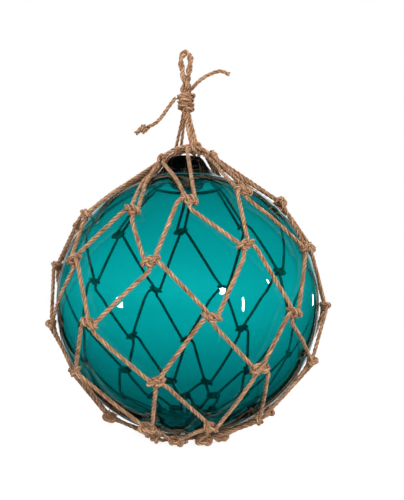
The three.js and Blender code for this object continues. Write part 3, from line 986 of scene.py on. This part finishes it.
@dataclass
class GlassBall:
    """The blown ball: a thin wall, thicker towards the seal that closes it, and a bead on the seal."""

    glass: bpy.types.Material
    wall: float = 3.4
    sag: float = 4.6
    shoulder: float = 2.4
    plug: tuple = ((31, 117.6), (25, 121.4), (20.6, 123.4), (17.6, 120.6), (15, 115.4), (8, 111.6))
    plug_foot: float = 110.6
    segments: int = 160
    bands: int = 120
    ripple: float = 0.12
    bead: tuple = (-15.5, 5.5, 142.0)
    bead_radius: float = 5.5
    bead_height: float = 4.2
    bead_root: float = 128.0

    def lathe(self, profile: np.ndarray, ripple: float, phase: float, inward: bool) -> Skin:
        """Turns a profile about the ball's axis, leaning at the seal, with slow ripples.

        Args:
            profile: Radius and rise from the bottom to the top.
            ripple: How deep the ripples are.
            phase: Where the ripples start.
            inward: Whether its faces look into the ball.

        Returns:
            The skin.
        """
        turn = np.arange(self.segments) * 2 * math.pi / self.segments
        body = profile[1:-1]
        reach = np.linalg.norm(body, axis=1)[:, None]
        lat = np.arctan2(body[:, 1], body[:, 0])[:, None]
        wave = (np.sin(3 * lat + 2 * turn + phase) + 0.6 * np.sin(7 * lat - 3 * turn + 2 * phase)
                + 0.4 * np.sin(11 * lat + 4 * turn + 3 * phase)) / 2
        scale = 1 + ripple * wave / reach * np.cos(lat)
        radius, rise = body[:, :1] * scale, body[:, 1:] * scale
        corners = np.stack([radius * np.sin(turn), -radius * np.cos(turn), np.broadcast_to(rise, radius.shape)], -1)
        corners = np.vstack([corners.reshape(-1, 3), [(0, 0, profile[0, 1]), (0, 0, profile[-1, 1])]])
        share = np.clip((corners[:, 2] - 112) / 20, 0, 1)
        corners[:, 0] += SEAL_LEAN * share * share * (3 - 2 * share)
        rows = len(body)
        row = np.arange(rows - 1)[:, None] * self.segments
        a = np.arange(self.segments)[None]
        b = (a + 1) % self.segments
        quads = np.stack([row + a, row + b, row + self.segments + b, row + self.segments + a], -1).reshape(-1, 4)
        last = (rows - 1) * self.segments
        low, high = rows * self.segments, rows * self.segments + 1
        foot = np.stack([b[0], a[0], np.full(self.segments, low)], -1)
        head = np.stack([last + a[0], last + b[0], np.full(self.segments, high)], -1)
        faces = [quads, foot, head]
        if inward:
            faces = [block[:, ::-1] for block in faces]
        skin = Skin()
        skin.add(corners, faces, np.zeros_like(corners))
        return skin

    def outer_profile(self) -> np.ndarray:
        """Draws the outside: the sphere, then the seal drawn up from it."""
        foot = math.acos(SEAL_FOOT_RADIUS / BALL_RADIUS)
        lats = np.linspace(-math.pi / 2, foot, self.bands)
        sphere = BALL_RADIUS * np.stack([np.cos(lats), np.sin(lats)], 1)
        seal = spline(np.array([sphere[-1], *SEAL_PROFILE, (0.0, SEAL_TOP_RISE)]), 5)
        return np.vstack([sphere, seal[1:]])

    def inner_profile(self) -> np.ndarray:
        """Draws the hollow inside: the wall is thicker where it sagged, and the seal's plug hangs in it."""
        lats = np.linspace(-90, 73.5, self.bands)
        low, high = np.clip((5 - lats) / 60, 0, 1), np.clip((lats - 10) / 80, 0, 1)
        reach = BALL_RADIUS - self.wall - self.sag * low - self.shoulder * high
        sphere = reach[:, None] * np.stack([np.cos(np.radians(lats)), np.sin(np.radians(lats))], 1)
        plug = spline(np.array([sphere[-1], *self.plug, (0.0, self.plug_foot)]), 6)
        return np.vstack([sphere, plug[1:]])

    def build(self) -> bpy.types.Object:
        """Makes the ball."""
        outside = self.lathe(self.outer_profile(), self.ripple, 0.7, False)
        inside = self.lathe(self.inner_profile(), self.ripple * 2, 2.1, True)
        skin = outside.corners[0]
        near = np.exp(-((np.linalg.norm(skin - self.bead, axis=1) / self.bead_radius) ** 2))[:, None]
        skin += self.bead_height * near * unit(skin - (SEAL_LEAN, 0, self.bead_root))
        outside.add(inside.corners[0], inside.faces, inside.runs[0])
        piece = outside.piece("blown_glass_ball", self.glass, "glass")
        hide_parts("glass_float")
        return piece


@dataclass(frozen=True)
class Softbox:
    """One soft lamp: where it stands round the ball, its size in metres, and its power."""

    name: str
    bearing: float
    elevation: float
    distance: float
    width: float
    height: float
    watts: float
    mirrored: bool = True

    def place(self) -> None:
        """Hangs the lamp so that it faces the ball, out of the camera's sight."""
        lamp = bpy.data.lights.new(self.name, "AREA")
        lamp.shape, lamp.size, lamp.size_y, lamp.energy = "RECTANGLE", self.width, self.height, self.watts
        holder = bpy.data.objects.new(self.name, lamp)
        bpy.context.scene.collection.objects.link(holder)
        up, round_ = math.radians(self.elevation), math.radians(self.bearing)
        offset = np.array([math.cos(up) * math.sin(round_), -math.cos(up) * math.cos(round_), math.sin(up)])
        holder.location = offset * self.distance + (0, 0, BALL_CENTRE * MM)
        holder.rotation_euler = (math.pi / 2 - up, 0, round_)
        holder.visible_camera = holder.visible_transmission = False
        holder.visible_glossy = self.mirrored


@dataclass
class Studio:
    """The camera, a plain white floor, soft lamps and an even white surround."""

    distance: float = 0.6
    tilt: float = 2.0
    lens: float = 44.45
    shift: tuple[float, float] = (0.029, 0.107)
    floor_half: float = 4.0
    lamps: tuple[Softbox, ...] = (
        Softbox("key_left", -55, 2, 1.5, 0.16, 0.20, 10),
        Softbox("key_right", 28, 11, 1.5, 0.12, 0.12, 9),
        Softbox("strip_right", 44, 1, 1.5, 0.05, 0.25, 4),
        Softbox("glint_right", 69, 15, 1.5, 0.06, 0.06, 1),
        Softbox("glint_edge", 130, 0, 1.5, 0.05, 0.10, 1),
        Softbox("overhead", 0, 75, 1.6, 1.4, 1.4, 7, False),
        Softbox("front_fill", 4, 14, 1.2, 0.8, 0.8, 4.6, False),
        Softbox("back_fill", 184, 20, 1.2, 0.8, 0.8, 2.5, False),
    )

    def camera(self) -> None:
        """Sets the camera up in front of the ball, a little above level."""
        tilt = math.radians(self.tilt)
        data = bpy.data.cameras.new("camera")
        data.lens, data.sensor_width = self.lens, 36.0
        data.shift_x, data.shift_y = self.shift
        data.clip_start, data.clip_end = 0.01, 50
        camera = bpy.data.objects.new("camera", data)
        bpy.context.scene.collection.objects.link(camera)
        camera.location = (0, -self.distance * math.cos(tilt), BALL_CENTRE * MM + self.distance * math.sin(tilt))
        camera.rotation_euler = (math.pi / 2 - tilt, 0, 0)
        bpy.context.scene.camera = camera

    def floor(self) -> None:
        """Lays the floor."""
        half = self.floor_half
        mesh = bpy.data.meshes.new("floor")
        mesh.from_pydata([(-half, -half, 0), (half, -half, 0), (half, half, 0), (-half, half, 0)], [], [(0, 1, 2, 3)])
        mesh.materials.append(MattCard().material())
        floor = bpy.data.objects.new("floor", mesh)
        bpy.context.scene.collection.objects.link(floor)
        floor.visible_glossy = floor.visible_diffuse = False

    def surround(self) -> None:
        """Lights the room: white where it is seen or looked through to, dimmer on the float itself."""
        world = bpy.data.worlds.new("studio")
        world.use_nodes = True
        bpy.context.scene.world = world
        tree = world.node_tree
        tree.nodes.clear()
        rays = add_node(tree, "ShaderNodeLightPath")
        direct = add_node(tree, "ShaderNodeMath", {"operation": "MAXIMUM"},
                          {0: rays.outputs["Is Camera Ray"], 1: rays.outputs["Is Transmission Ray"]})
        white = add_node(tree, "ShaderNodeBackground", {"Color": linear(0xFFFFFF), "Strength": 1.0})
        way = add_node(tree, "ShaderNodeTexCoord")
        split = add_node(tree, "ShaderNodeSeparateXYZ", links={0: way.outputs["Generated"]})
        behind = add_node(tree, "ShaderNodeMapRange", {"From Min": 0.80, "From Max": 0.92, "To Min": 0.0,
                                                       "To Max": 1.0}, {"Value": split.outputs["Y"]})
        tone = add_node(tree, "ShaderNodeMix", {"data_type": "RGBA", 6: linear(0x1A1F20), 7: linear(0xD8EDF5)},
                        {0: behind.outputs[0]})
        mirrored = add_node(tree, "ShaderNodeBackground", {"Strength": 1.0}, {"Color": tone.outputs[2]})
        ambient = add_node(tree, "ShaderNodeBackground", {"Color": linear(0xFFFBF6), "Strength": 0.36})
        soft = add_node(tree, "ShaderNodeMixShader", links={
            0: rays.outputs["Is Glossy Ray"], 1: ambient.outputs[0], 2: mirrored.outputs[0]})
        whole = add_node(tree, "ShaderNodeMixShader", links={
            0: direct.outputs[0], 1: soft.outputs[0], 2: white.outputs[0]})
        add_node(tree, "ShaderNodeOutputWorld", links={0: whole.outputs[0]})

    def build(self) -> None:
        """Sets up the whole studio."""
        self.floor()
        self.surround()
        for lamp in self.lamps:
            lamp.place()
        view = bpy.context.scene.view_settings
        view.view_transform, view.look = "Standard", "None"


def main() -> None:
    """Builds the studio and the float, piece by piece."""
    studio = Studio()
    studio.camera()
    jute = JuteTwine().material()
    ends = FreeEnds(jute).build()
    log.info("free ends: %d pieces", len(ends))
    glass = GlassBall(BlownGlass().material()).build()
    log.info("%s stands for the plain ball", glass.name)
    net = Netting(jute).build()
    log.info("net: %d pieces", len(net))
    hanger = HangingCord(jute).build()
    log.info("hanger: %d pieces", len(hanger))
    whipping = Whipping(jute).build()
    log.info("%s is wound", whipping.name)
    studio.build()


if __name__ == "__main__":
    logging.basicConfig(level=logging.INFO)
    main()
